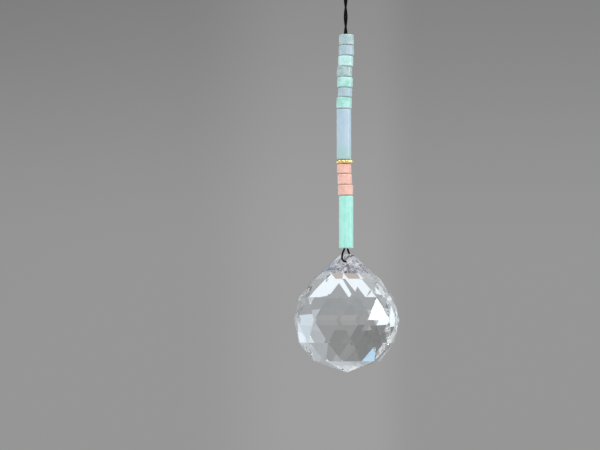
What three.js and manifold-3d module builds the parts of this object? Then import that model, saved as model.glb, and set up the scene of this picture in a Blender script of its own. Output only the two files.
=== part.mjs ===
// A crystal suncatcher: a faceted crystal ball on a doubled black cord, under a column of
// tube beads in pastel stone with one gold spacer disc. It hangs by the cord's top loop.
//
// Millimetres, +Z up. The origin is where a hook bears, inside the top of the hanging loop,
// and -Y is the front. Angles round the ball are degrees from the front towards +X.

import * as THREE from "three";
import { mergeVertices } from "three/addons/utils/BufferGeometryUtils.js";
import Module from "manifold-3d";

const wasm = await Module();
wasm.setup();

// ---- Driving dimensions ----

// Crystal ball. Its corners lie on rings of a sphere, and a cone rises from the top ring.
const BALL_RADIUS = 15;
const FACETS_ROUND = 12;
const INNER_RING_LATITUDE = 25;
const OUTER_RING_LATITUDE = 50;
const TIP_DROP = 14.8; // from the ball's centre to its bottom point
const CROWN_RISE = 18.65; // from the ball's centre to the flat on top
const CROWN_RADIUS = 1.7;
const BALL_TURN = 6.5; // angle of the first corner of the rings at 25 degrees

// Cord hole, level, straight through the crown. Its front mouth is a little to the left.
const HOLE_RADIUS = 0.8;
const HOLE_RISE = 16.08; // from the ball's centre
const HOLE_TURN = -12;
const HOLE_SIDES = 20;

// Bead column, from the top down. shift is the bead's centre off the Z axis, along X, and
// lean its tilt in degrees, right side down.
const BEADS = [
  { name: "short_bead_1_grey", length: 2.97, diameter: 4.22, shift: 0.02, lean: -1.0, stone: "grey" },
  { name: "short_bead_2_blue", length: 2.84, diameter: 4.3, shift: 0.0, lean: -0.4, stone: "blue" },
  { name: "short_bead_3_mint", length: 2.94, diameter: 4.28, shift: -0.2, lean: 0.9, stone: "mint" },
  { name: "short_bead_4_grey", length: 2.84, diameter: 4.34, shift: -0.53, lean: 1.2, stone: "grey" },
  { name: "short_bead_5_mint", length: 2.86, diameter: 4.46, shift: -0.4, lean: 1.4, stone: "mint" },
  { name: "short_bead_6_blue", length: 2.62, diameter: 4.04, shift: -0.4, lean: 1.9, stone: "blue" },
  { name: "short_bead_7_mint", length: 3.15, diameter: 4.36, shift: -0.66, lean: 2.4, stone: "mint" },
  { name: "long_bead_blue", length: 14.38, diameter: 4.16, shift: -0.73, lean: -0.1, stone: "blue" },
  { name: "gold_spacer_disc", length: 0.98, diameter: 4.86, shift: -0.46, lean: -0.5, stone: "gold" },
  { name: "short_bead_8_pink", length: 2.7, diameter: 4.1, shift: -0.65, lean: 0.0, stone: "pink" },
  { name: "short_bead_9_pink", length: 2.93, diameter: 4.1, shift: -0.48, lean: -0.8, stone: "pink" },
  { name: "short_bead_10_pink", length: 2.92, diameter: 4.38, shift: -0.28, lean: -0.6, stone: "pink" },
  { name: "long_bead_mint", length: 14.96, diameter: 4.06, shift: -0.11, lean: 0.0, stone: "mint" },
];
const COLUMN_TOP = -32; // z of the top bead's upper end
const BEAD_GAP = 0.15;
const BEAD_EDGE = 0.28; // rounding of a bead's rim
const DISC_EDGE = 0.34;
const BORE_RADIUS = 0.82;
const BEAD_SIDES = 20;
const BEAD_TO_CROWN = 1.62;

// Cord, doubled all the way. The two strands are twisted above the beads.
const CORD_RADIUS = 0.27;
const CORD_SIDES = 8;
const STRAND_OFFSET = 0.28; // from the pair's middle to each strand's
const HALF_TWIST = 5.5; // height in which the strands change sides
const IN_LINE_Z = -29.57; // where one strand is right behind the other
const TWIST_X = -0.18;
const TWIST_BOTTOM_Z = -33.15; // inside the top bead's bore
const CORD_JOINT = 0.3; // gap between the hanging cord and the stringing cord

// Knot and hanging loop.
const KNOT_Z = -19.4;
const KNOT_HEIGHT = 2.2;
const KNOT_RADIUS = 1.1;
const KNOT_RIDGES = 3;
const KNOT_SIDES = 16;
const LOOP_RADIUS = 2; // of the hook that the loop takes
const LEG_SPREAD = 1.1; // of each leg from the loop's middle, a little above half way up

// Steps of the cord's tube.
const TWIST_STEPS = 12;
const ARCH_STEPS = 8;

// ---- Worked out from them ----

const columnHeight = BEADS.reduce((sum, bead) => sum + bead.length, 0) + BEAD_GAP * (BEADS.length - 1);
const columnBottom = COLUMN_TOP - columnHeight;
const ballZ = columnBottom - BEAD_TO_CROWN - CROWN_RISE;
const halfStep = 180 / FACETS_ROUND;

const radians = THREE.MathUtils.degToRad;

const materials = {
  crystal: new THREE.MeshStandardMaterial({ color: 0xf4f8fa, roughness: 0.0, transparent: true, opacity: 0.35 }),
  mint: new THREE.MeshStandardMaterial({ color: 0xaeebdd, roughness: 0.35 }),
  blue: new THREE.MeshStandardMaterial({ color: 0xb9ccd8, roughness: 0.35 }),
  grey: new THREE.MeshStandardMaterial({ color: 0xb4c8ca, roughness: 0.4 }),
  pink: new THREE.MeshStandardMaterial({ color: 0xf2c2b2, roughness: 0.35 }),
  gold: new THREE.MeshStandardMaterial({ color: 0xd8ae62, roughness: 0.2, metalness: 1.0 }),
  cord: new THREE.MeshStandardMaterial({ color: 0x0b0b0c, roughness: 0.7 }),
};

// ---- Joining and cutting ----

function toSolid(geometry) {
  const bare = geometry.index ? geometry.toNonIndexed() : geometry.clone();
  bare.deleteAttribute("normal");
  bare.deleteAttribute("uv");
  const merged = mergeVertices(bare, 1e-4);
  return new wasm.Manifold(
    new wasm.Mesh({
      numProp: 3,
      vertProperties: new Float32Array(merged.attributes.position.array),
      triVerts: new Uint32Array(merged.index.array),
    }),
  );
}

function toGeometry(solid) {
  const mesh = solid.getMesh();
  const geometry = new THREE.BufferGeometry();
  geometry.setAttribute("position", new THREE.BufferAttribute(mesh.vertProperties, 3));
  geometry.setIndex(new THREE.BufferAttribute(mesh.triVerts, 1));
  return geometry;
}

function named(name, geometry, material) {
  const mesh = new THREE.Mesh(geometry, material);
  mesh.name = name;
  return mesh;
}

// ---- Crystal ball ----

// The corners of one ring, anticlockwise seen from above.
function ring(radius, z, turn) {
  return Array.from({ length: FACETS_ROUND }, (_, k) => {
    const angle = radians(turn + (360 / FACETS_ROUND) * k);
    return new THREE.Vector3(radius * Math.sin(angle), -radius * Math.cos(angle), z);
  });
}

function sphereRing(latitude, turn) {
  const angle = radians(latitude);
  return ring(BALL_RADIUS * Math.cos(angle), BALL_RADIUS * Math.sin(angle), turn);
}

// Rings alternate by half a step, so triangles join each to the next, and the crown's
// ring stands straight above the one below it, so flat four-sided facets join those.
function facetedBall() {
  const turned = BALL_TURN + halfStep;
  const rings = [
    sphereRing(-OUTER_RING_LATITUDE, turned),
    sphereRing(-INNER_RING_LATITUDE, BALL_TURN),
    sphereRing(0, turned),
    sphereRing(INNER_RING_LATITUDE, BALL_TURN),
    sphereRing(OUTER_RING_LATITUDE, turned),
    ring(CROWN_RADIUS, CROWN_RISE, turned),
  ];
  const corners = [...rings.flat(), new THREE.Vector3(0, 0, -TIP_DROP)];
  const tip = corners.length - 1;
  const at = (level, k) => level * FACETS_ROUND + ((k + FACETS_ROUND) % FACETS_ROUND);
  const top = rings.length - 1;
  const faces = [];
  for (let k = 0; k < FACETS_ROUND; k++) {
    faces.push(tip, at(0, k + 1), at(0, k));
    for (let level = 0; level < top; level++) {
      const ahead = level % 2 === 0 ? 1 : 0; // the ring above starts half a step behind or ahead
      const straight = level === top - 1;
      const up = straight ? 0 : ahead;
      faces.push(at(level, k), at(level, k + 1), at(level + 1, k + up));
      faces.push(at(level, k + 1), at(level + 1, k + up + 1), at(level + 1, k + up));
    }
    if (k > 1) faces.push(at(top, 0), at(top, k - 1), at(top, k));
  }
  const geometry = new THREE.BufferGeometry().setFromPoints(corners);
  geometry.setIndex(faces);
  return geometry;
}

function crystalBall() {
  const drill = new THREE.CylinderGeometry(HOLE_RADIUS, HOLE_RADIUS, 2 * BALL_RADIUS, HOLE_SIDES);
  drill.rotateZ(radians(HOLE_TURN)); // the cylinder's axis starts along Y
  drill.translate(0, 0, HOLE_RISE);
  const drilled = toSolid(facetedBall()).subtract(toSolid(drill));
  const ball = named("crystal_ball", toGeometry(drilled), materials.crystal);
  ball.position.z = ballZ;
  return ball;
}

// ---- Beads ----

// A turned ring: the bore wall, then the outer wall with a rounded rim at each end.
function beadGeometry({ length, diameter, stone }) {
  const half = length / 2;
  const outer = diameter / 2;
  const edge = stone === "gold" ? DISC_EDGE : BEAD_EDGE;
  const rim = (from, sign) =>
    [0, 45, 90].map((turned) => {
      const angle = radians(from + turned);
      return new THREE.Vector2(
        outer - edge + edge * Math.cos(angle),
        sign * (half - edge) + edge * Math.sin(angle),
      );
    });
  const profile = [
    new THREE.Vector2(BORE_RADIUS, half),
    new THREE.Vector2(BORE_RADIUS, -half),
    ...rim(-90, -1),
    ...rim(0, 1),
    new THREE.Vector2(BORE_RADIUS, half),
  ];
  return new THREE.LatheGeometry(profile, BEAD_SIDES).rotateX(Math.PI / 2);
}

function beadColumn() {
  const column = new THREE.Group();
  let top = COLUMN_TOP;
  for (const bead of BEADS) {
    const mesh = named(bead.name, beadGeometry(bead), materials[bead.stone]);
    mesh.position.set(bead.shift, 0, top - bead.length / 2);
    mesh.rotation.y = radians(bead.lean);
    column.add(mesh);
    top -= bead.length + BEAD_GAP;
  }
  return column;
}

// ---- Cord ----

// A smooth route through points. Each stretch between two points gets as many of the
// tube's steps as any other, so that closely set points give a bend more of them.
class Route extends THREE.CatmullRomCurve3 {
  getPointAt(share, target) {
    return this.getPoint(share, target);
  }
  getTangentAt(share, target) {
    return this.getTangent(share, target);
  }
}

function tube(points, stepsBetween) {
  const section = new THREE.Shape();
  section.absarc(0, 0, CORD_RADIUS, 0, 2 * Math.PI);
  const route = new Route(points, false, "centripetal");
  return new THREE.ExtrudeGeometry(section, {
    extrudePath: route,
    steps: stepsBetween * (points.length - 1),
    curveSegments: CORD_SIDES / 2, // three.js gives a circle two sides for each
  });
}

// The stringing cord, from the top bead's bore down the beads, through the crystal's hole
// from front to back, and up again. Each point is [x, y, z]; in the second list z is
// above the ball's centre, and the third list is its way back up at the rear.
function stringingCord() {
  const inBeads = [
    [-0.46, 0.0, TWIST_BOTTOM_Z - CORD_JOINT],
    [-0.5, 0.0, -36.5],
    [-0.68, 0.0, -41.0],
    [-0.84, 0.0, -47.0],
    [-0.9, 0.0, -56.0],
    [-0.88, 0.0, -66.0],
    [-0.74, -0.04, -74.0],
    [-0.5, -0.08, -81.0],
    [-0.46, -0.1, -88.0],
  ];
  const roof = HOLE_RISE + HOLE_RADIUS - CORD_RADIUS - 0.04; // the cord bears on the hole's roof
  const downFront = [
    [-0.54, -0.16, 20.85],
    [-0.62, -0.3, 20.15],
    [-1.15, -1.75, 18.87],
    [-1.34, -2.95, 17.77],
    [-1.3, -3.85, 17.15],
    [-1.0, -4.32, 16.64],
    [-0.74, -3.5, roof],
    [0.0, 0.0, roof],
  ];
  const upRear = [
    [0.74, 3.5, roof],
    [0.96, 4.32, 16.64],
    [1.14, 3.85, 17.15],
    [1.05, 2.95, 17.77],
    [0.74, 1.65, 18.97],
    [0.3, 0.32, 20.15],
    [0.26, 0.16, 20.85],
  ];
  const upInBeads = inBeads.map(([x, y, z]) => [x + 0.57, -y, z]).reverse();
  const onBall = [...downFront, ...upRear].map(([x, y, z]) => [x, y, z + ballZ]);
  const points = [...inBeads, ...onBall, ...upInBeads].map((point) => new THREE.Vector3(...point));
  return named("stringing_cord", tube(points, 2), materials.cord);
}

// Points of one strand of the twisted pair, from the top bead up to the knot.
function twistedStrand(side) {
  const bottom = TWIST_BOTTOM_Z;
  const top = KNOT_Z - KNOT_HEIGHT / 2;
  return Array.from({ length: TWIST_STEPS + 1 }, (_, k) => {
    const z = bottom + ((top - bottom) * k) / TWIST_STEPS;
    const angle = (Math.PI * (z - IN_LINE_Z)) / HALF_TWIST;
    const offset = side * STRAND_OFFSET;
    return new THREE.Vector3(TWIST_X + offset * Math.sin(angle), -offset * Math.cos(angle), z);
  });
}

// Points of one of the loop's two legs, from inside the knot up to the arch.
function leg(side) {
  const radius = LOOP_RADIUS + CORD_RADIUS;
  return [
    new THREE.Vector3(TWIST_X + side * STRAND_OFFSET, 0, KNOT_Z + KNOT_HEIGHT / 2),
    new THREE.Vector3(0.45 * TWIST_X + side * LEG_SPREAD, 0, -0.6 * (LOOP_RADIUS - KNOT_Z)),
    new THREE.Vector3(side * radius * 0.92, 0, -1.9 * LOOP_RADIUS),
  ];
}

// Points of the loop's half circle round the hook, from left to right.
function arch() {
  const radius = LOOP_RADIUS + CORD_RADIUS;
  return Array.from({ length: ARCH_STEPS + 1 }, (_, k) => {
    const angle = Math.PI * (1 - k / ARCH_STEPS);
    return new THREE.Vector3(radius * Math.cos(angle), 0, -LOOP_RADIUS + radius * Math.sin(angle));
  });
}

// The knot, as a stack of rounded ridges on the pair's middle.
function knotGeometry() {
  const ridge = KNOT_HEIGHT / KNOT_RIDGES / 2; // half of a ridge's height
  const profile = [new THREE.Vector2(0, -KNOT_HEIGHT / 2)];
  for (let k = 0; k < KNOT_RIDGES; k++) {
    const middle = -KNOT_HEIGHT / 2 + ridge * (2 * k + 1);
    for (const turned of [-60, 0, 60]) {
      const angle = radians(turned);
      const out = KNOT_RADIUS - ridge + ridge * Math.cos(angle);
      profile.push(new THREE.Vector2(out, middle + ridge * Math.sin(angle)));
    }
  }
  profile.push(new THREE.Vector2(0, KNOT_HEIGHT / 2));
  return new THREE.LatheGeometry(profile, KNOT_SIDES).rotateX(Math.PI / 2).translate(TWIST_X, 0, KNOT_Z);
}

// The hanging cord: one strand up from the top bead, through the knot, over the hook, back
// through the knot and down to the bead again.
function hangingCord() {
  const down = [...leg(1).reverse(), ...twistedStrand(-1).reverse()];
  const points = [...twistedStrand(1), ...leg(-1), ...arch(), ...down];
  const whole = toSolid(tube(points, 1)).add(toSolid(knotGeometry()));
  return named("hanging_cord", toGeometry(whole), materials.cord);
}

// ---- The whole suncatcher ----

const suncatcher = new THREE.Group();
suncatcher.add(crystalBall(), beadColumn(), stringingCord(), hangingCord());

export default suncatcher;
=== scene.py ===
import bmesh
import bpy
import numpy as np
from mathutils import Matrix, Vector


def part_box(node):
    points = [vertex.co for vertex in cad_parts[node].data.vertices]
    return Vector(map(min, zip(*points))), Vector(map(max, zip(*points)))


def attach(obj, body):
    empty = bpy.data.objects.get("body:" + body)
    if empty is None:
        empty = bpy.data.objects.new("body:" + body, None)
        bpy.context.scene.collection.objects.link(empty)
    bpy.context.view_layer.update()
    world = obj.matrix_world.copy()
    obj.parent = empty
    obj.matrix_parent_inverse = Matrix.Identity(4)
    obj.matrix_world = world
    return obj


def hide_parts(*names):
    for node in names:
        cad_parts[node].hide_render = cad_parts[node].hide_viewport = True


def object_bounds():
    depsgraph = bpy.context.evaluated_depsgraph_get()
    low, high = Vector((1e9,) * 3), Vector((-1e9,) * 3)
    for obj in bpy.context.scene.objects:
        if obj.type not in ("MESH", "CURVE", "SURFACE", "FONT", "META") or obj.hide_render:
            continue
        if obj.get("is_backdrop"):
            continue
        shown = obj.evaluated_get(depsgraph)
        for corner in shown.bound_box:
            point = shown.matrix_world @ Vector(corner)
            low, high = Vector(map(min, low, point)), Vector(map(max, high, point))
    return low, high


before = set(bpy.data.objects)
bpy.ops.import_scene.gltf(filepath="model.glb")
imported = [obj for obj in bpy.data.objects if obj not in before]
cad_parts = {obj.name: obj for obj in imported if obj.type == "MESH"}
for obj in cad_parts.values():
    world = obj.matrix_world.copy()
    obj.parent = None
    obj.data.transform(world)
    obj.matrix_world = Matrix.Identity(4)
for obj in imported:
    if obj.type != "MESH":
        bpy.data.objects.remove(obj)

# A crystal suncatcher: a faceted crystal ball under a column of polished stone tube beads
# with one gold spacer disc, strung on one doubled black cord that hangs from its own loop.
# Sizes are millimetres in the part's own frame, and become metres where a mesh is made.

cad_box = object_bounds()
MM = 0.001

# ---- Sizes that the part has ----

BALL_RADIUS = 15.0
FACETS_ROUND = 12
INNER_RING_LATITUDE = 25.0
OUTER_RING_LATITUDE = 50.0
TIP_DROP = 14.8
CROWN_RISE = 18.65
CROWN_RADIUS = 1.7
BALL_TURN = 6.5
HOLE_RADIUS = 0.8
HOLE_RISE = 16.08
HOLE_TURN = -12.0

BORE_RADIUS = 0.82
BEAD_RIM = 0.28
DISC_RIM = 0.34

CORD_RADIUS = 0.27
STRAND_OFFSET = 0.28
HALF_TWIST = 5.5
IN_LINE_Z = -29.57
TWIST_X = -0.18
TWIST_BOTTOM_Z = -33.15
TWIST_STEPS = 12
CORD_JOINT = 0.3
KNOT_Z = -19.4
KNOT_HEIGHT = 2.2
KNOT_RADIUS = 1.1
LOOP_RADIUS = 2.0
LEG_SPREAD = 1.1
ARCH_STEPS = 8
ROOF_GAP = 0.04  # between the cord and the roof of the crystal's hole

BALL_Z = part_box("crystal_ball")[0].z / MM + TIP_DROP  # height of the ball's centre

# ---- Finer sizes that only the looks need ----

FACET_EDGE = 0.03  # width of the polished edge between two facets
FACET_ANGLE = 0.05  # least angle in radians between two facets that have such an edge
WELD_DISTANCE = 1e-4  # within which corners that the drilling leaves double are joined
DRILL_SIDES = 64
MOUTH_START = 3.2  # where the hole begins to open, from the crystal's middle
MOUTH_DEPTH = 1.8
MOUTH_FLARE = 0.3
MOUTH_RINGS = 9
BEAD_SIDES = 72
BEAD_WOBBLE = 0.012  # how far a bead is from round, as a share of its radius
BORE_CHAMFER = 0.12
DISC_SIDES = 216
DISC_LOBES = 9
LOBE_DEPTH = 0.3
END_HIGHLIGHT_WIDTH = 0.16  # over which the painted highlight at a bead's ends fades
CORNER_STEPS = 7
WALL_ROWS = 24
CORD_SIDES = 21
CORD_STEP = 0.12  # between two rings of the cord's surface
LAY_LENGTH = 1.7  # of the cord's three plies
PLY_CREST = 1.08  # radius at the plies' crests, as a share of the cord's radius
PLY_GROOVE = 0.18  # depth of the grooves between plies, as a share of the cord's radius
LOOP_STEPS = 12  # of the hanging cord's smooth route, between two of its points
THREAD_STEPS = 16  # of the threaded cord's
KNOT_TURNS = 3
KNOT_TURN_STEPS = 40
KNOT_START = 0.7  # radians from the front
TUCK_TURNS = 0.3  # over which each end of the knot is led inwards
TUCK_SHARE = 0.38  # by which its radius is smaller at the end

CRYSTAL_IOR = 1.52
CLOUDING_START = 12.6  # height over the ball's centre where the crown's clouding begins
CLOUDING_WHOLE = 13.8

# ---- Light, in metres from the ball's centre ----

LIGHT_TURNS = 32  # reflections and refractions that one ray may make in the crystal
DAYLIGHT = (0.92, 1.0, 1.05, 1.0)
FLOOR_DROP = 0.35
SHEET_LIFT = 0.002  # of a lit sheet over the floor
FLOOR_REACH = 2.5
FLOOR_FADE = (-300.0, 600.0)  # millimetres along Y over which painted shade makes the floor darker

# ---- Camera: level with the ball's middle, a little to its left, looking along +Y and up ----

CAMERA_PLACE = (-13.2, -569.0, BALL_Z)
CAMERA_LENS = 120.5
CAMERA_TILT = 2.71  # degrees upwards


def add_camera():
    data = bpy.data.cameras.new("camera")
    data.lens = CAMERA_LENS
    data.clip_start = 0.01
    data.clip_end = 20.0
    camera = bpy.data.objects.new("camera", data)
    camera.location = Vector(CAMERA_PLACE) * MM
    camera.rotation_euler = (np.radians(90 + CAMERA_TILT), 0.0, 0.0)
    bpy.context.scene.collection.objects.link(camera)
    bpy.context.scene.camera = camera


# ---- Making meshes ----


def make_object(name, mesh):
    piece = bpy.data.objects.new(name, mesh)
    bpy.context.scene.collection.objects.link(piece)
    return piece


def signed_volume(points, faces):
    """A sixth of the sum of a . (b x c) over the fan triangles of four-sided faces."""
    a, b, c, d = (points[faces[:, k]] for k in range(4))
    fans = np.einsum("ij,ij->i", a, np.cross(b, c)) + np.einsum("ij,ij->i", a, np.cross(c, d))
    return fans.sum() / 6


def skin(name, grid, along_closed):
    """Four-sided faces over a grid of points [along, round], closed round, and either closed
    along too or shut by a flat cap at each end. Faces are turned to point outwards."""
    rings, sides = grid.shape[:2]
    points = grid.reshape(-1, 3)
    index = np.arange(rings * sides).reshape(rings, sides)
    ahead = np.roll(index, -1, 0) if along_closed else index[1:]
    here = index if along_closed else index[:-1]
    faces = np.stack([here, np.roll(here, -1, 1), np.roll(ahead, -1, 1), ahead], -1).reshape(-1, 4)
    inside_out = signed_volume(points - points.mean(0), faces) < 0
    caps = [] if along_closed else [index[0][::-1], index[-1]]
    if inside_out:
        faces = faces[:, ::-1]
        caps = [cap[::-1] for cap in caps]
    mesh = bpy.data.meshes.new(name)
    mesh.from_pydata((points * MM).tolist(), [], faces.tolist() + [cap.tolist() for cap in caps])
    mesh.polygons.foreach_set("use_smooth", [True] * len(mesh.polygons))
    mesh.update()
    return make_object(name, mesh)


def unit(vectors):
    return vectors / np.linalg.norm(vectors, axis=-1, keepdims=True)


def smooth_route(points, steps):
    """A centripetal Catmull-Rom curve through points: between two of them it is the cubic
    with tangents weighted by the square roots of the distances to its neighbours."""
    points = np.asarray(points, float)
    first = 2 * points[0] - points[1]
    last = 2 * points[-1] - points[-2]
    full = np.vstack([first, points, last])
    gap = np.sqrt(np.linalg.norm(np.diff(full, axis=0), axis=1))[:, None]
    step = np.diff(full, axis=0)
    before, here, after = gap[:-2], gap[1:-1], gap[2:]
    start = step[:-2] / before - (step[:-2] + step[1:-1]) / (before + here) + step[1:-1] / here
    end = step[1:-1] / here - (step[1:-1] + step[2:]) / (here + after) + step[2:] / after
    t = (np.arange(steps) / steps)[None, :, None]
    a, b = points[:-1, None], points[1:, None]
    ta, tb = (start * here)[:, None], (end * here)[:, None]
    curve = (
        (2 * t**3 - 3 * t**2 + 1) * a
        + (t**3 - 2 * t**2 + t) * ta
        + (3 * t**2 - 2 * t**3) * b
        + (t**3 - t**2) * tb
    )
    return np.vstack([curve.reshape(-1, 3), points[-1]])


def run_length(points):
    """Distance along the points from the first to each."""
    return np.concatenate([[0.0], np.cumsum(np.linalg.norm(np.diff(points, axis=0), axis=1))])


def evenly(points, step):
    """The same route with its points an even step apart."""
    along = run_length(points)
    wanted = np.linspace(0, along[-1], int(along[-1] / step) + 2)
    return np.stack([np.interp(wanted, along, points[:, k]) for k in range(3)], 1)


def laid_cord(name, route, across):
    """A cord of three plies on a route. Round each point of the route the surface is at
    radius R (c - g (1 - |cos(1.5 (a - 2 pi s / lay))|)): a is the angle from the direction
    `across` (made square to the route), s the distance along it, c the height of the plies'
    crests and g the depth of the grooves between them."""
    centres = evenly(route, CORD_STEP)
    tangent = unit(np.gradient(centres, axis=0))
    across = np.asarray(across, float)
    first = unit(across - (tangent @ across)[:, None] * tangent)
    second = np.cross(tangent, first)
    angle = np.linspace(0, 2 * np.pi, CORD_SIDES, endpoint=False)[None, :]
    turn = (2 * np.pi * run_length(centres) / LAY_LENGTH)[:, None]
    ply = np.abs(np.cos(1.5 * (angle - turn)))
    radius = CORD_RADIUS * (PLY_CREST - PLY_GROOVE * (1 - ply))
    grid = (
        centres[:, None]
        + (radius * np.cos(angle))[..., None] * first[:, None]
        + (radius * np.sin(angle))[..., None] * second[:, None]
    )
    return skin(name, grid, along_closed=False)


# ---- Cord: its routes are the part's own ----


def twisted_strand(side):
    """One strand of the twisted pair, upwards: a helix of radius STRAND_OFFSET that turns by
    half a round in HALF_TWIST, with one strand right behind the other at IN_LINE_Z."""
    z = np.linspace(TWIST_BOTTOM_Z, KNOT_Z - KNOT_HEIGHT / 2, TWIST_STEPS + 1)
    angle = np.pi * (z - IN_LINE_Z) / HALF_TWIST
    offset = side * STRAND_OFFSET
    return np.stack([TWIST_X + offset * np.sin(angle), -offset * np.cos(angle), z], 1)


def leg(side):
    """One leg of the loop, upwards, from inside the knot to where the arch begins."""
    radius = LOOP_RADIUS + CORD_RADIUS
    return np.array([
        [TWIST_X + side * STRAND_OFFSET, 0, KNOT_Z + KNOT_HEIGHT / 2],
        [0.45 * TWIST_X + side * LEG_SPREAD, 0, -0.6 * (LOOP_RADIUS - KNOT_Z)],
        [side * radius * 0.92, 0, -1.9 * LOOP_RADIUS],
    ])


def arch():
    """The loop's half circle round the hook, from left to right."""
    radius = LOOP_RADIUS + CORD_RADIUS
    angle = np.pi * (1 - np.arange(ARCH_STEPS + 1) / ARCH_STEPS)
    return np.stack([radius * np.cos(angle), 0 * angle, radius * np.sin(angle) - LOOP_RADIUS], 1)


def hanging_points():
    up = [twisted_strand(1), leg(-1), arch()]
    return np.vstack(up + [leg(1)[::-1], twisted_strand(-1)[::-1]])


def stringing_points():
    """Down the beads, through the crystal's hole from front to back, and up the beads."""
    in_beads = np.array([
        [-0.46, 0.0, TWIST_BOTTOM_Z - CORD_JOINT],
        [-0.5, 0.0, -36.5],
        [-0.68, 0.0, -41.0],
        [-0.84, 0.0, -47.0],
        [-0.9, 0.0, -56.0],
        [-0.88, 0.0, -66.0],
        [-0.74, -0.04, -74.0],
        [-0.5, -0.08, -81.0],
        [-0.46, -0.1, -88.0],
    ])
    roof = HOLE_RISE + HOLE_RADIUS - CORD_RADIUS - ROOF_GAP
    on_ball = np.array([
        [-0.54, -0.16, 20.85],
        [-0.62, -0.3, 20.15],
        [-1.15, -1.75, 18.87],
        [-1.34, -2.95, 17.77],
        [-1.3, -3.85, 17.15],
        [-1.0, -4.32, 16.64],
        [-0.74, -3.5, roof],
        [0.0, 0.0, roof],
        [0.74, 3.5, roof],
        [0.96, 4.32, 16.64],
        [1.14, 3.85, 17.15],
        [1.05, 2.95, 17.77],
        [0.74, 1.65, 18.97],
        [0.3, 0.32, 20.15],
        [0.26, 0.16, 20.85],
    ])
    back_up = (in_beads * [1, -1, 1] + [0.57, 0, 0])[::-1]
    return np.vstack([in_beads, on_ball + [0, 0, BALL_Z], back_up])


def knot_route():
    """Three touching turns round the pair of strands: a helix that rises one cord's diameter
    a turn, at the radius that keeps the cord's outside on the knot's, with both ends led
    inwards under the turns."""
    turns = np.linspace(0, KNOT_TURNS, KNOT_TURN_STEPS * KNOT_TURNS + 1)
    rise = (KNOT_HEIGHT - 2 * CORD_RADIUS) / KNOT_TURNS
    free = np.clip(np.minimum(turns, KNOT_TURNS - turns) / TUCK_TURNS, 0, 1)
    outside = KNOT_RADIUS - CORD_RADIUS
    radius = outside * (1 - TUCK_SHARE + TUCK_SHARE * free)
    angle = 2 * np.pi * turns + KNOT_START
    z = KNOT_Z + (turns - KNOT_TURNS / 2) * rise
    return np.stack([TWIST_X + radius * np.sin(angle), -radius * np.cos(angle), z], 1)


# ---- Crystal ----


def ring_corners(radius, height, turn):
    """Corners evenly round a level circle: (r sin a, -r cos a, height), a from turn on."""
    angle = np.radians(turn + 360 / FACETS_ROUND * np.arange(FACETS_ROUND))
    return np.stack([radius * np.sin(angle), -radius * np.cos(angle), 0 * angle + height], 1)


def sphere_ring(latitude, turn):
    angle = np.radians(latitude)
    return ring_corners(BALL_RADIUS * np.cos(angle), BALL_RADIUS * np.sin(angle), turn)


def facets():
    """Corners and faces of the cut ball: bands of triangles between rings that alternate by
    half a step, a fan of triangles to the tip, twelve four-sided crown facets and the flat."""
    turned = BALL_TURN + 180 / FACETS_ROUND
    rings = [
        sphere_ring(-OUTER_RING_LATITUDE, turned),
        sphere_ring(-INNER_RING_LATITUDE, BALL_TURN),
        sphere_ring(0, turned),
        sphere_ring(INNER_RING_LATITUDE, BALL_TURN),
        sphere_ring(OUTER_RING_LATITUDE, turned),
        ring_corners(CROWN_RADIUS, CROWN_RISE, turned),
    ]
    corners = np.vstack(rings + [[[0, 0, -TIP_DROP]]])
    k = np.arange(FACETS_ROUND)
    following = np.roll(k, -1)

    def at(level, which):
        return level * FACETS_ROUND + which

    faces = np.stack([0 * k + len(corners) - 1, at(0, following), at(0, k)], 1).tolist()
    for level in range(4):
        above = following if level % 2 == 0 else k
        beyond = np.roll(above, -1)
        faces += np.stack([at(level, k), at(level, following), at(level + 1, above)], 1).tolist()
        faces += np.stack([at(level, following), at(level + 1, beyond), at(level + 1, above)], 1).tolist()
    faces += np.stack([at(4, k), at(4, following), at(5, following), at(5, k)], 1).tolist()
    faces.append(at(5, k).tolist())
    return corners, faces


def drill_radius(depth):
    """The hole's radius at a distance from the middle of the crystal: even, then opening
    smoothly by MOUTH_FLARE over the last MOUTH_DEPTH before the crown's facets."""
    share = np.clip((np.abs(depth) - MOUTH_START) / MOUTH_DEPTH, 0, 1)
    return HOLE_RADIUS + MOUTH_FLARE * share**2


def drill_grid():
    """A round bar along the hole: circles of the drill's radius, square to the hole's axis."""
    angle = np.linspace(0, 2 * np.pi, DRILL_SIDES, endpoint=False)
    turn = np.radians(HOLE_TURN)
    along = np.array([-np.sin(turn), np.cos(turn), 0])
    side = np.array([np.cos(turn), np.sin(turn), 0])
    circle = np.cos(angle)[:, None] * side + np.sin(angle)[:, None] * [0, 0, 1]
    mouth = np.linspace(MOUTH_START, MOUTH_START + MOUTH_DEPTH, MOUTH_RINGS)
    depth = np.concatenate([[-BALL_RADIUS], -mouth[::-1], mouth, [BALL_RADIUS]])
    rings = depth[:, None, None] * along + drill_radius(depth)[:, None, None] * circle
    return rings + [0, 0, HOLE_RISE], along


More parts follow.
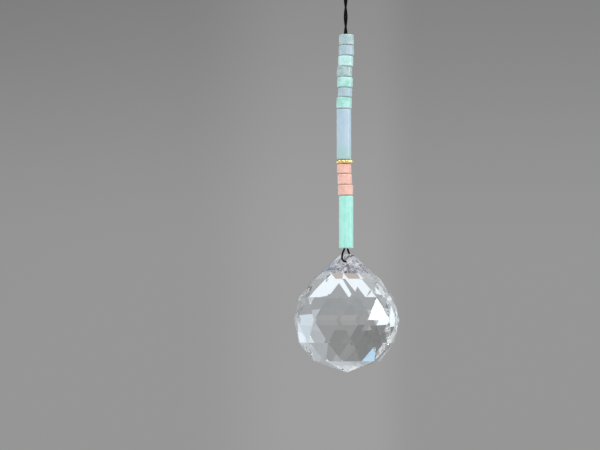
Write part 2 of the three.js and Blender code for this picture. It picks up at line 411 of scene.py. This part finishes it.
def cut_crystal(glass, drilled):
    """The faceted ball with its cord hole drilled through and each edge between two facets
    polished to a narrow flat. The hole's wall has the second material."""
    corners, faces = facets()
    mesh = bpy.data.meshes.new("crystal")
    mesh.from_pydata(corners.tolist(), [], faces)
    blank = make_object("crystal", mesh)
    grid, along = drill_grid()
    bar = skin("drill", grid / MM, along_closed=False)
    cut = blank.modifiers.new("drill", "BOOLEAN")
    cut.object = bar
    cut.operation = "DIFFERENCE"
    cut.solver = "EXACT"
    bpy.context.view_layer.update()
    drilled_blank = blank.evaluated_get(bpy.context.evaluated_depsgraph_get())
    finished = bpy.data.meshes.new_from_object(drilled_blank)
    bpy.data.objects.remove(bar)
    bpy.data.objects.remove(blank)

    work = bmesh.new()
    work.from_mesh(finished)
    bmesh.ops.remove_doubles(work, verts=work.verts, dist=WELD_DISTANCE)
    middle = Vector((0, 0, HOLE_RISE))
    axis = Vector(along)

    def off_axis(point):
        reach = point - middle
        return (reach - axis * reach.dot(axis)).length

    widest = HOLE_RADIUS + MOUTH_FLARE + FACET_EDGE
    wall = {face for face in work.faces if max(off_axis(v.co) for v in face.verts) < widest}
    for face in work.faces:
        face.smooth = face in wall
        face.material_index = int(face in wall)
    edges = [
        edge for edge in work.edges
        if wall.isdisjoint(edge.link_faces) and edge.calc_face_angle(0) > FACET_ANGLE
    ]
    bmesh.ops.bevel(
        work, geom=edges, offset=FACET_EDGE, segments=1, affect="EDGES", clamp_overlap=True)
    for vert in work.verts:
        vert.co = (vert.co + Vector((0, 0, BALL_Z))) * MM
    work.to_mesh(finished)
    work.free()
    finished.materials.clear()
    finished.materials.append(glass)
    finished.materials.append(drilled)
    return make_object("crystal", finished)


# ---- Beads ----


def wall_outline(inner, outer, half, rim, chamfer):
    """Half section of a tube's wall as a closed loop of (radius, height): a rounded corner at
    each of its four corners, with rows of points between them on the outside."""
    quarter = np.linspace(0, np.pi / 2, CORNER_STEPS)

    def corner(radius, height, size, start):
        angle = start + quarter
        return np.stack([radius + size * np.cos(angle), height + size * np.sin(angle)], 1)

    rows = np.linspace(-(half - rim), half - rim, WALL_ROWS)[1:-1]
    outside = np.stack([0 * rows + outer, rows], 1)
    return np.vstack([
        corner(outer - rim, rim - half, rim, -np.pi / 2),
        outside,
        corner(outer - rim, half - rim, rim, 0),
        corner(inner + chamfer, half - chamfer, chamfer, np.pi / 2),
        corner(inner + chamfer, chamfer - half, chamfer, np.pi),
    ])


def turned_bead(name, node, length, lean, rim, wobble, seed, lobes=0):
    """A tube bead in the place of its node: the wall's outline carried round the bore, then
    leaned about Y by `lean` degrees, right side down. The outside radius is less than round by
    the share wobble (1 + v / 1.5) / 2, where v = sin(2 a + p) + sin(3 a + 1.7 h + q) / 2 for
    the angle a and height h. A number of lobes cuts LOBE_DEPTH (1 - |sin(lobes a / 2)|)^2 into
    it. A point attribute for a painted highlight is 1 at the bead's ends and fades away
    from them."""
    low, high = (np.array(corner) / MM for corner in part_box(node))
    centre = (low + high) / 2
    outer = (high[1] - low[1]) / 2
    outline = wall_outline(BORE_RADIUS, outer, length / 2, rim, BORE_CHAMFER)
    rng = np.random.default_rng(seed)
    p, q = rng.uniform(0, 2 * np.pi, 2)
    sides = DISC_SIDES if lobes else BEAD_SIDES
    angle = np.linspace(0, 2 * np.pi, sides, endpoint=False)[None, :]
    radius, height = outline[:, :1], outline[:, 1:]
    share = np.clip((radius - BORE_RADIUS) / (outer - BORE_RADIUS), 0, 1)
    wave = np.sin(2 * angle + p) + 0.5 * np.sin(3 * angle + 1.7 * height + q)
    radius = radius * (1 - wobble * share * (1 + wave / 1.5) / 2)
    if lobes:
        radius = radius - LOBE_DEPTH * share * (1 - np.abs(np.sin(lobes * angle / 2))) ** 2
    upright = np.stack([radius * np.sin(angle), -radius * np.cos(angle), height + 0 * angle], -1)
    tilt = np.radians(lean)
    turn = np.array([[np.cos(tilt), 0, np.sin(tilt)], [0, 1, 0], [-np.sin(tilt), 0, np.cos(tilt)]])
    piece = skin(name, upright @ turn.T + centre, along_closed=True)
    # painted highlight at the bead's ends: 1 at each end, fading inwards
    wear_and_end_highlight = np.exp(-(length / 2 - np.abs(outline[:, 1])) / END_HIGHLIGHT_WIDTH)
    attribute = piece.data.attributes.new("wear_and_end_highlight", "FLOAT", "POINT")
    attribute.data.foreach_set("value", np.repeat(wear_and_end_highlight, sides))
    return piece


# ---- Shaders ----


def paint(red, green, blue):
    """A colour given as the 0-255 values of a paint chart, as linear light."""
    value = np.array([red, green, blue]) / 255
    linear = np.where(value <= 0.04045, value / 12.92, ((value + 0.055) / 1.055) ** 2.4)
    return (*linear.tolist(), 1.0)


def set_sockets(node, values):
    """Gives each of a node's inputs its plain value, or a link from its Signal."""
    for name, value in values.items():
        if isinstance(value, Signal):
            value.tree.links.new(value.socket, node.inputs[name])
        else:
            node.inputs[name].default_value = value


class Signal:
    """A socket in a tree of shader nodes. Arithmetic on it adds Math nodes."""

    def __init__(self, tree, socket=None):
        self.tree = tree
        self.socket = socket

    def node(self, kind, settings=(), inputs=(), output=0):
        """Adds a node, with its settings made first and then its sockets' values or links."""
        made = self.tree.nodes.new(kind)
        for name, value in dict(settings).items():
            setattr(made, name, value)
        set_sockets(made, dict(inputs))
        return Signal(self.tree, made.outputs[output] if made.outputs else None)

    def maths(self, operation, *values):
        return self.node("ShaderNodeMath", {"operation": operation}, enumerate(values))

    def __add__(self, other):
        return self.maths("ADD", self, other)

    def __radd__(self, other):
        return self.maths("ADD", other, self)

    def __sub__(self, other):
        return self.maths("SUBTRACT", self, other)

    def __rsub__(self, other):
        return self.maths("SUBTRACT", other, self)

    def __mul__(self, other):
        return self.maths("MULTIPLY", self, other)

    def __rmul__(self, other):
        return self.maths("MULTIPLY", other, self)

    def step(self, low, high):
        """0 below low and 1 above high, with a smooth rise between them."""
        inputs = {"Value": self, "From Min": low, "From Max": high, "To Min": 0.0, "To Max": 1.0}
        settings = {"interpolation_type": "SMOOTHSTEP"}
        return self.node("ShaderNodeMapRange", settings, inputs)

    def blend(self, below, above):
        """The colour `below` where this is 0 and `above` where it is 1."""
        inputs = {0: self, 6: below, 7: above}
        return self.node("ShaderNodeMix", {"data_type": "RGBA"}, inputs, output=2)

    def noise(self, place, scale, detail=3.0, roughness=0.55):
        inputs = {"Vector": place, "Scale": scale, "Detail": detail, "Roughness": roughness}
        return self.node("ShaderNodeTexNoise", {}, inputs)

    def placed(self, offset=(0, 0, 0), scale=(1, 1, 1)):
        """Object coordinates in millimetres, moved and stretched."""
        where = self.node("ShaderNodeTexCoord", output=3)
        stretch = tuple(s / MM for s in scale)
        inputs = {"Vector": where, "Location": offset, "Scale": stretch}
        return self.node("ShaderNodeMapping", {}, inputs)

    def bump(self, height, strength, distance):
        inputs = {"Height": height, "Strength": strength, "Distance": distance}
        return self.node("ShaderNodeBump", {}, inputs)


def surface(name):
    """A new material with one Principled shader, and a Signal to build its nodes from."""
    material = bpy.data.materials.new(name)
    material.use_nodes = True
    shader = next(n for n in material.node_tree.nodes if n.type == "BSDF_PRINCIPLED")
    return material, shader, Signal(material.node_tree)


def clear_crystal():
    """Clear lead crystal. Its polish varies a very little, as hand-cut facets do. In the crown,
    where the drill has been, it is less well polished and clouded with violet grey."""
    material, shader, s = surface("clear_crystal")
    place = s.placed()
    smear = s.noise(place, 0.22, detail=2.0).step(0.45, 0.8)
    height = s.node("ShaderNodeSeparateXYZ", {}, {"Vector": place}, output=2)
    crown = height.step(BALL_Z + CLOUDING_START, BALL_Z + CLOUDING_WHOLE)
    cloud = s.noise(s.placed(scale=(0.5, 0.5, 1.1)), 0.4, detail=1.0).step(0.36, 0.62)
    clouded = cloud.blend((0.55, 0.52, 0.62, 1.0), (0.96, 0.95, 1.0, 1.0))
    set_sockets(shader, {
        "Base Color": crown.blend((0.985, 0.99, 0.995, 1.0), clouded),
        "Transmission Weight": 1.0,
        "IOR": CRYSTAL_IOR,
        "Roughness": 0.004 * smear + 0.05 * crown,
    })
    return material


def drilled_crystal():
    """The wall of the drilled hole: clear, but only half polished, with the drill's marks."""
    material, shader, s = surface("drilled_crystal")
    marks = s.noise(s.placed(), 2.0, detail=1.0)
    set_sockets(shader, {
        "Base Color": (0.86, 0.85, 0.9, 1.0),
        "Transmission Weight": 1.0,
        "IOR": CRYSTAL_IOR,
        "Roughness": 0.03 + 0.05 * marks,
        "Normal": s.bump(marks, 0.1, 0.00005),
    })
    return material


def polished_stone(name, body, cloud, spot, rim, offset, mottle, streak=0.0, spots=0.0, foot=None):
    """Dyed stone, tumbled to a satin polish. Soft clouds run from the body colour to the cloud
    colour, fine mottling breaks them up, and streaks run along the bore. The spot colour
    shows in small rounded flecks, and the rim colour as a painted highlight at the bead's
    ends. A foot gives a colour and the two heights between which it takes over downwards.
    The polish is a little duller in the pores."""
    material, shader, s = surface(name)
    place = s.placed(offset)
    clouds = s.noise(place, 0.55, detail=3.0).step(0.36, 0.64)
    grain = s.noise(place, 2.6, detail=4.0, roughness=0.6)
    lines = s.noise(s.placed(offset, (1.5, 1.5, 0.09)), 1.0, detail=3.0).step(0.35, 0.65)
    share = (1 - streak) * clouds + streak * lines
    mixed = (share + mottle * (grain - 0.5)).step(0.0, 1.0)
    colour = mixed.blend(body, cloud)
    if foot:
        height = s.node("ShaderNodeSeparateXYZ", {}, {"Vector": s.placed()}, output=2)
        low = 1 - (height + 2.5 * (grain - 0.5)).step(foot[1], foot[2])
        colour = low.blend(colour, foot[0])
    cells = s.node("ShaderNodeTexVoronoi", {"feature": "F1"}, {"Vector": place, "Scale": 0.8})
    fleck = (1 - cells.step(0.12, 0.3)) * spots
    # painted highlight: the rim colour laid over the bead's ends
    wear_and_end_highlight = s.node("ShaderNodeAttribute", {"attribute_name": "wear_and_end_highlight"}, output=2)
    pale = (wear_and_end_highlight * (0.5 + grain)).step(0.25, 0.95) * 0.75
    pores = s.noise(place, 9.0, detail=3.0)
    set_sockets(shader, {
        "Base Color": pale.blend(fleck.blend(colour, spot), rim),
        "Roughness": 0.32 + 0.16 * pores,
        "Coat Weight": 0.3,
        "Coat Roughness": 0.25,
        "Sheen Weight": 0.75,
        "Sheen Roughness": 0.35,
        "Subsurface Weight": 0.12,
        "Subsurface Radius": (0.6, 0.5, 0.4),
        "Subsurface Scale": 0.0008,
        "Normal": s.bump(pores + grain, 0.22, 0.00003),
    })
    return material


def polished_gold():
    """Gold plate over a turned brass disc, bright, with faint turning lines round it."""
    material, shader, s = surface("polished_gold")
    lines = s.noise(s.placed(scale=(0.15, 0.15, 9.0)), 1.0, detail=2.0)
    tarnish = s.noise(s.placed(), 0.9, detail=3.0).step(0.45, 0.75)
    set_sockets(shader, {
        "Base Color": tarnish.blend(paint(255, 226, 158), paint(244, 196, 118)),
        "Metallic": 1.0,
        "Roughness": 0.13 + 0.1 * lines,
        "Normal": s.bump(lines, 0.12, 0.00002),
    })
    return material


def waxed_cord():
    """Black waxed cotton: fine fibres along the cord and a faint waxy shine."""
    material, shader, s = surface("waxed_cord")
    fibres = s.noise(s.placed(scale=(1.0, 1.0, 0.35)), 14.0, detail=3.0)
    wear_and_end_highlight = s.noise(s.placed(), 1.3, detail=2.0).step(0.5, 0.8)
    tone = (0.55 * fibres + 0.35 * wear_and_end_highlight).step(0.2, 0.9)
    set_sockets(shader, {
        "Base Color": tone.blend((0.002, 0.002, 0.002, 1), (0.007, 0.007, 0.008, 1)),
        "Roughness": 0.5 + 0.25 * fibres,
        "Specular IOR Level": 0.06,
        "Normal": s.bump(fibres, 0.5, 0.00003),
    })
    return material


# ---- The beads' stones: the body, cloud, spot and rim colours of each; the rim colour is a painted highlight ----

GREY = (paint(168, 194, 199), paint(190, 214, 213), paint(112, 146, 156), paint(208, 216, 214))
DULL_GREY = (paint(156, 184, 185), paint(184, 206, 205), paint(96, 134, 136), paint(203, 210, 208))
BLUE = (paint(172, 197, 206), paint(185, 208, 217), paint(148, 176, 187), paint(206, 219, 223))
LONG_BLUE = (paint(178, 204, 221), paint(191, 212, 225), paint(160, 190, 210), paint(205, 218, 222))
PALE_MINT = (paint(180, 226, 219), paint(206, 240, 238), paint(150, 212, 200), paint(222, 242, 238))
MINT = (paint(158, 221, 207), paint(192, 236, 230), paint(130, 202, 187), paint(216, 239, 232))
LONG_MINT = (paint(165, 236, 219), paint(186, 245, 234), paint(140, 218, 198), paint(214, 244, 236))
PINK = (paint(244, 183, 165), paint(250, 199, 186), paint(255, 206, 140), paint(249, 217, 200))
BLUE_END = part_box("long_bead_blue")[0].z / MM
TEAL_FOOT = (paint(172, 208, 208), BLUE_END + 1.0, BLUE_END + 6.0)


def add_beads():
    """The beads from the top down. Each row gives a bead's node, length, lean in degrees,
    colours, how mottled and how streaked it is, how much its spots show, and any foot."""
    rows = [
        ("short_bead_1_grey", 2.97, -1.0, GREY, 0.9, 0.0, 0.35),
        ("short_bead_2_blue", 2.84, -0.4, BLUE, 0.3, 0.2, 0.0),
        ("short_bead_3_mint", 2.94, 0.9, PALE_MINT, 0.4, 0.2, 0.1),
        ("short_bead_4_grey", 2.84, 1.2, DULL_GREY, 1.3, 0.0, 0.6),
        ("short_bead_5_mint", 2.86, 1.4, MINT, 0.5, 0.0, 0.2),
        ("short_bead_6_blue", 2.62, 1.9, BLUE, 0.3, 0.4, 0.0),
        ("short_bead_7_mint", 3.15, 2.4, MINT, 1.1, 0.0, 0.35),
        ("long_bead_blue", 14.38, -0.1, LONG_BLUE, 0.3, 0.6, 0.0, TEAL_FOOT),
        ("short_bead_8_pink", 2.7, 0.0, PINK, 0.4, 0.1, 0.7),
        ("short_bead_9_pink", 2.93, -0.8, PINK, 0.4, 0.1, 0.5),
        ("short_bead_10_pink", 2.92, -0.6, PINK, 0.3, 0.1, 0.7),
        ("long_bead_mint", 14.96, 0.0, LONG_MINT, 0.25, 0.5, 0.1),
    ]
    for number, (node, length, lean, colours, *amounts) in enumerate(rows):
        offset = (3.7 * number, 11.3 * number, 5.1 * number)
        finish = polished_stone(node + "_stone", *colours, offset, *amounts)
        name = node.replace("short_bead", "bead") + "_cut"
        bead = turned_bead(name, node, length, lean, BEAD_RIM, BEAD_WOBBLE, number)
        bead.data.materials.append(finish)
        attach(bead, "root")
        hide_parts(node)
        node.split("_")[-1] + "_stone"


def add_disc():
    disc = turned_bead("gold_disc", "gold_spacer_disc", 0.98, -0.5, DISC_RIM, 0.0, 40, DISC_LOBES)
    disc.data.materials.append(polished_gold())
    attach(disc, "root")
    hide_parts("gold_spacer_disc")


def add_cords():
    black = waxed_cord()
    hanging = hanging_points()
    hanging_route = smooth_route(hanging, LOOP_STEPS)
    loop = laid_cord("hanging_strands", hanging_route, (0, 1, 0))
    loop.data.materials.append(black)
    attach(loop, "root")
    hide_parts("hanging_cord")

    knot = laid_cord("barrel_knot", knot_route(), (0, 0, 1))
    knot.data.materials.append(black)
    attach(knot, "root")

    threaded_route = smooth_route(stringing_points(), THREAD_STEPS)
    threaded = laid_cord("threaded_strands", threaded_route, (1, 0, 0))
    threaded.data.materials.append(black)
    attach(threaded, "root")
    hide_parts("stringing_cord")


# ---- Floor and light ----


def direction(azimuth, elevation):
    """A unit vector: azimuth in degrees from straight behind the ball towards +X."""
    a, e = np.radians([azimuth, elevation])
    return np.array([np.sin(a) * np.cos(e), np.cos(a) * np.cos(e), np.sin(e)])


def glow(name, colour, strength):
    """A plain even light, as a softbox's cloth gives."""
    material = bpy.data.materials.new(name)
    material.use_nodes = True
    tree = material.node_tree
    tree.nodes.clear()
    s = Signal(tree)
    emission = s.node("ShaderNodeEmission", {}, {"Color": colour, "Strength": strength})
    s.node("ShaderNodeOutputMaterial", {}, {"Surface": emission})
    return material


def lit_panel(name, corners, strength, colour=(1, 1, 1, 1)):
    """A flat lit panel, given by its four corners in metres from the ball's centre."""
    centre = np.array([0, 0, BALL_Z * MM])
    mesh = bpy.data.meshes.new(name)
    mesh.from_pydata((centre + np.asarray(corners)).tolist(), [], [(0, 1, 2, 3)])
    mesh.materials.append(glow(name, colour, strength))
    panel = make_object(name, mesh)
    panel.visible_camera = False
    panel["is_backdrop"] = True
    return panel


def softbox(name, azimuth, elevation, distance, width, height, strength):
    """A lit panel that faces the crystal, `distance` metres away in a direction."""
    outward = direction(azimuth, elevation)
    side = unit(np.cross(outward, [0, 0, 1])) * width / 2
    up = unit(np.cross(side, outward)) * height / 2
    middle = outward * distance
    corners = [middle - side - up, middle + side - up, middle + side + up, middle - side + up]
    return lit_panel(name, corners, strength)


def side_window(name, x, y_span, z_span, strength):
    """A panel of daylight upright beside the ball, at x."""
    (y0, y1), (z0, z1) = y_span, z_span
    corners = [(x, y0, z0), (x, y1, z0), (x, y1, z1), (x, y0, z1)]
    lit_panel(name, corners, strength, DAYLIGHT)


def level_corners(x_span, y_span, drop):
    """Corners of a level sheet that lies `drop` below the ball's centre."""
    (x0, x1), (y0, y1) = x_span, y_span
    return [(x0, y0, -drop), (x1, y0, -drop), (x1, y1, -drop), (x0, y1, -drop)]


def pale_floor():
    """Plain pale floor, a little cloudy, with painted shade that makes it darker behind the piece."""
    material, shader, s = surface("pale_floor")
    cloud = s.noise(s.placed(), 0.004, detail=3.0)
    depth = s.node("ShaderNodeSeparateXYZ", {}, {"Vector": s.placed()}, output=1)
    # painted shade: the floor is darker behind the piece
    shade = depth.step(*FLOOR_FADE)
    pale = cloud.blend((0.62, 0.62, 0.62, 1), (0.68, 0.68, 0.68, 1))
    dim = cloud.blend((0.43, 0.43, 0.43, 1), (0.48, 0.48, 0.48, 1))
    set_sockets(shader, {
        "Base Color": shade.blend(pale, dim),
        "Roughness": 0.8,
        "Specular IOR Level": 0.1,
    })
    return material


def add_floor():
    centre = np.array([0, 0, BALL_Z * MM])
    span = (-FLOOR_REACH, FLOOR_REACH)
    mesh = bpy.data.meshes.new("floor")
    mesh.from_pydata((centre + level_corners(span, span, FLOOR_DROP)).tolist(), [], [(0, 1, 2, 3)])
    mesh.materials.append(pale_floor())
    make_object("floor", mesh)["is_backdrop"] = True


def add_room():
    """The soft light of a room with grey walls: brighter in front of the piece and at its
    sides than behind it, with soft patches where a wall catches or loses light. Each patch
    has its direction, the angles where it is whole and where it ends, what it adds to the
    light, and how blue it is."""
    world = bpy.data.worlds.new("room")
    bpy.context.scene.world = world
    world.use_nodes = True
    world.node_tree.nodes.clear()
    s = Signal(world.node_tree)
    where = s.node("ShaderNodeTexCoord")
    split = s.node("ShaderNodeSeparateXYZ", {}, {"Vector": where}).socket.node
    x, y, z = (Signal(s.tree, socket) for socket in split.outputs)
    before = 1 - y.step(0.25, 0.55)
    level = 0.305 + 0.57 * before - 0.085 * z.step(0.03, 0.2)
    level = level + 0.04 * x.step(-0.06, 0.0) * (1 - x.step(0.035, 0.06))
    blue = 0.2 * before
    patches = [
        ((-115, 0), (20, 60), -0.25, 0.0),
        ((60, 7), (12, 48), 0.41, 1.0),
        ((-27, 27), (4, 34), -0.05, 0.0),
        ((-30, -8), (3, 18), 0.22, 0.3),
        ((-40, -32), (5, 28), 0.2, 0.3),
        ((12, 50), (4, 26), 0.2, 0.4),
        ((-33, 42), (3, 9), 0.55, 3.0),
        ((10, 76), (4, 24), -0.25, 0.0),
    ]
    for (azimuth, elevation), (whole, end), share, blueness in patches:
        toward = tuple(direction(azimuth, elevation).tolist())
        dot = {"operation": "DOT_PRODUCT"}
        facing = s.node("ShaderNodeVectorMath", dot, {0: where, 1: toward}, output=1)
        low, high = np.cos(np.radians([end, whole])).tolist()
        patch = facing.step(low, high)
        level = level + share * patch
        blue = blue + blueness * patch
    level = s.maths("MINIMUM", level, 0.9)
    colour = s.node("ShaderNodeCombineColor", {}, {
        0: level * (0.995 - 0.12 * blue),
        1: level,
        2: level * (0.995 + 0.1 * blue),
    })
    sky = s.node("ShaderNodeBackground", {}, {"Color": colour, "Strength": 1.0})
    s.node("ShaderNodeOutputWorld", {}, {"Surface": sky})


def add_stage():
    add_room()
    add_floor()
    low = FLOOR_DROP - SHEET_LIFT
    lit_panel("low_reflector", level_corners((-0.36, 0.36), (0.403, 0.645), low), 0.97, DAYLIGHT)
    card = level_corners((-0.13, 0.1), (0.25, 0.4), low)
    warm_card = lit_panel("warm_card", card, 0.5, (1.0, 0.85, 0.77, 1.0))
    warm_card.visible_diffuse = False  # it neither colours nor shades the floor under it
    warm_card.visible_shadow = False
    side_window("left_window", -0.7, (0.12, 0.91), (-0.246, 0.17), 1.08)
    side_window("left_near_window", -0.72, (-0.3, 0.25), (-0.33, 0.42), 0.95)
    softbox("right_window", 103.6, 12.6, 0.9, 0.15, 0.15, 18.0)
    front_key = softbox("front_key", 188, 50, 1.1, 1.0, 0.4, 5.4)
    front_key.visible_transmission = False  # so that no facet shows it as a patch


# ---- The scene ----

add_camera()
add_cords()

crystal = cut_crystal(clear_crystal(), drilled_crystal())
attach(crystal, "root")
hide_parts("crystal_ball")

add_beads()
add_disc()
add_stage()
bpy.context.scene.view_settings.view_transform = "Standard"
for kind in ("max", "glossy", "transmission"):  # a cut crystal sends light round many times
    setattr(bpy.context.scene.cycles, kind + "_bounces", LIGHT_TURNS)


def corners(box):
    return [[float(value) for value in corner] for corner in box]


{"cad": corners(cad_box), "visual": corners(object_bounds())}
